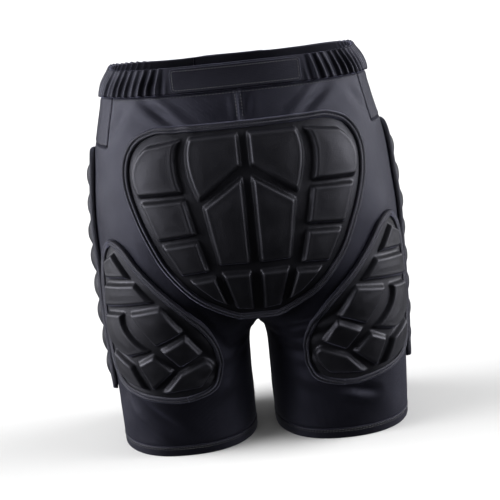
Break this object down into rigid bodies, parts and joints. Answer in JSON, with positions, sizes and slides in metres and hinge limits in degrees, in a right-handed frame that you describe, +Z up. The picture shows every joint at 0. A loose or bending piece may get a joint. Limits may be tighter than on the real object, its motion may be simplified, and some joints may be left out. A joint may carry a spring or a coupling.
{
  "type": "padded impact shorts",
  "caption": "Stretch impact shorts with moulded foam pads on tail bone, hips and thighs, mesh vents and a hook-and-loop waist flap.",
  "frame": {"origin": "on the floor under the middle of the whole object's box, at the height of the leg hems", "axes": "+Z up to the waist, -Y out of the wearer's front, +X to the wearer's left"},
  "size_m": [0.3622, 0.2464, 0.4287],
  "materials": {
    "stretch_fabric": "matt black nylon and elastane stretch knit with a soft bluish sheen",
    "vent_mesh": "dark grey open knitted mesh",
    "waistband_fabric": "black folded stretch knit, gathered over elastic",
    "elastic": "black woven rib elastic",
    "hook_and_loop": "black hook-and-loop tape",
    "pad_backing": "black knit laminated to thin foam",
    "pad_foam": "moulded closed-cell foam under a smooth black knit",
    "binding_tape": "black folded binding tape with edge stitching",
    "label_tape": "plain white satin label without text"
  },
  "bodies": {
    "root": {"front_panel_left": "stretch_fabric", "front_panel_right": "stretch_fabric", "back_panel_left": "stretch_fabric", "back_panel_right": "stretch_fabric", "fly_panel": "stretch_fabric", "mesh_vent_left": "vent_mesh", "mesh_vent_right": "vent_mesh", "crotch_gusset": "stretch_fabric", "hip_band_left": "stretch_fabric", "hip_band_right": "stretch_fabric", "hem_band_left": "stretch_fabric", "hem_band_right": "stretch_fabric", "waistband_front_left": "waistband_fabric", "waistband_front_right": "waistband_fabric", "waistband_back": "waistband_fabric", "waist_elastic": "elastic", "rear_waist_patch": "waistband_fabric", "loop_patch": "hook_and_loop", "tail_pad_web": "pad_backing", "tail_pad_foam": "pad_foam", "tail_pad_binding": "binding_tape", "side_pad_web_left": "pad_backing", "side_pad_foam_left": "pad_foam", "side_pad_binding_left": "binding_tape", "side_pad_web_right": "pad_backing", "side_pad_foam_right": "pad_foam", "side_pad_binding_right": "binding_tape", "thigh_pad_web_left": "pad_backing", "thigh_pad_foam_left": "pad_foam", "thigh_pad_binding_left": "binding_tape", "thigh_pad_web_right": "pad_backing", "thigh_pad_foam_right": "pad_foam", "thigh_pad_binding_right": "binding_tape", "care_label": "label_tape"},
    "flap": {"closure_flap": "waistband_fabric", "hook_patch": "hook_and_loop"}
  },
  "joints": [
    {"name": "flap_hinge", "type": "hinge", "parent": "root", "child": "flap", "pos_m": [0.0434, -0.1073, 0.39875], "axis": [0.002, 0.2596, 0.9657], "range_deg": [0, 110]}
  ]
}
